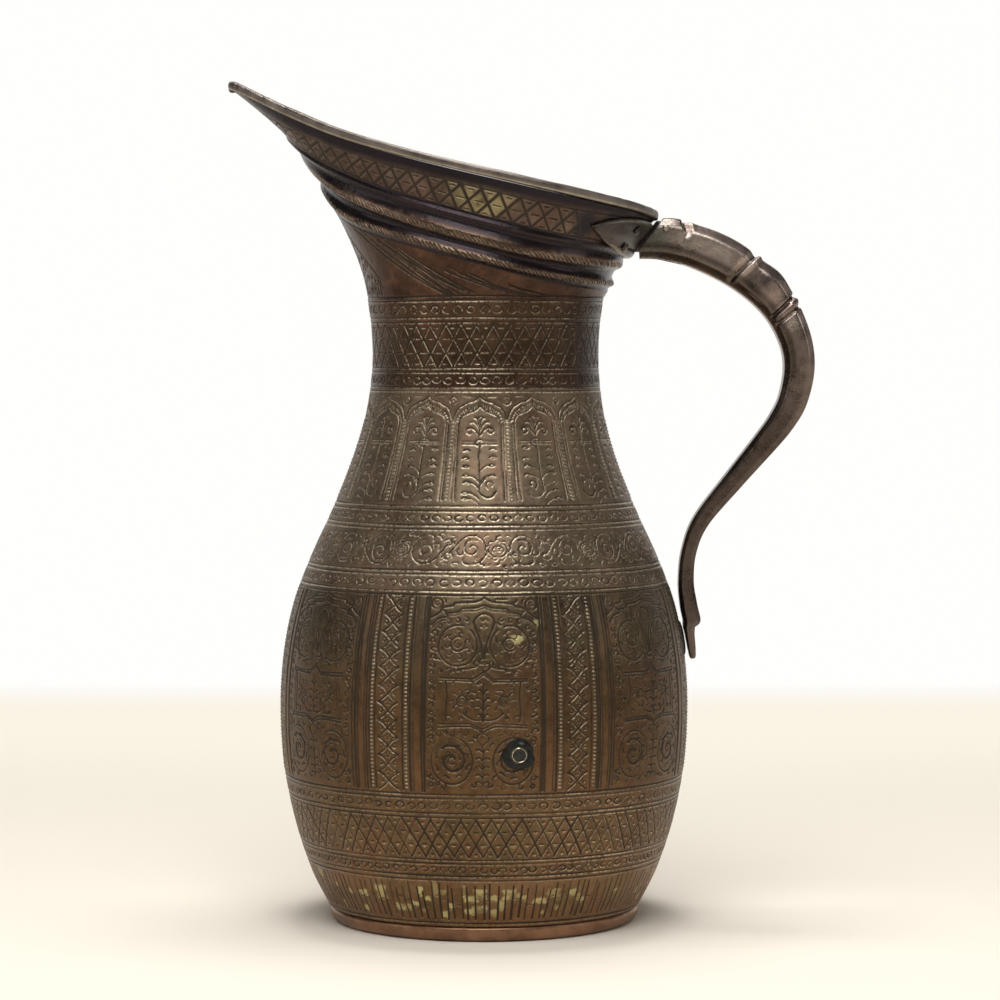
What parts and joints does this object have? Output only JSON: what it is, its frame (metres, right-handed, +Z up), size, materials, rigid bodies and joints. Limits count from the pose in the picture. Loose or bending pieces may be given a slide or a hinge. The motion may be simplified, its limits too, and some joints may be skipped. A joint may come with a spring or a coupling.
{
  "type": "engraved copper ewer",
  "caption": "Pear-shaped engraved copper ewer with a slanting mouth drawn into a beak, rope ridges under the rim and a cast handle pinned to a leaf-ended saddle.",
  "frame": {"origin": "on the vessel's axis at the underside of the base, where it stands", "axes": "+Z up along the vessel's axis, +X towards the handle, so the beak points along -X and the repaired side faces -Y"},
  "size_m": [0.2121, 0.1481, 0.3038],
  "materials": {
    "base_plate": "dull tarnished copper",
    "foot_ring": "worn reddish copper",
    "belly_shell": "dark brown patina over copper, engraved",
    "neck_shell": "dark brown patina over copper, engraved",
    "mouth_collar": "dark brown patina over copper, engraved",
    "lip_roll": "worn tan copper",
    "handle": "dark polished cast alloy",
    "handle_saddle": "dark grey-brown cast alloy",
    "handle_pin": "grey-green oxidised",
    "saddle_rivets": "dark oxidised",
    "repair_plug": "worn bright edge, dark centre",
    "solder": "dull dark solder"
  },
  "bodies": {
    "root": {"base_plate": "base_plate", "foot_ring": "foot_ring", "belly_shell": "belly_shell", "neck_shell": "neck_shell", "mouth_collar": "mouth_collar", "lip_roll": "lip_roll", "handle": "handle", "handle_saddle": "handle_saddle", "handle_pin": "handle_pin", "saddle_rivet_near_lower": "saddle_rivets", "saddle_rivet_near_upper": "saddle_rivets", "saddle_rivet_far_lower": "saddle_rivets", "saddle_rivet_far_upper": "saddle_rivets", "repair_plug": "repair_plug", "repair_solder": "solder", "tongue_solder": "solder"}
  },
  "joints": []
}
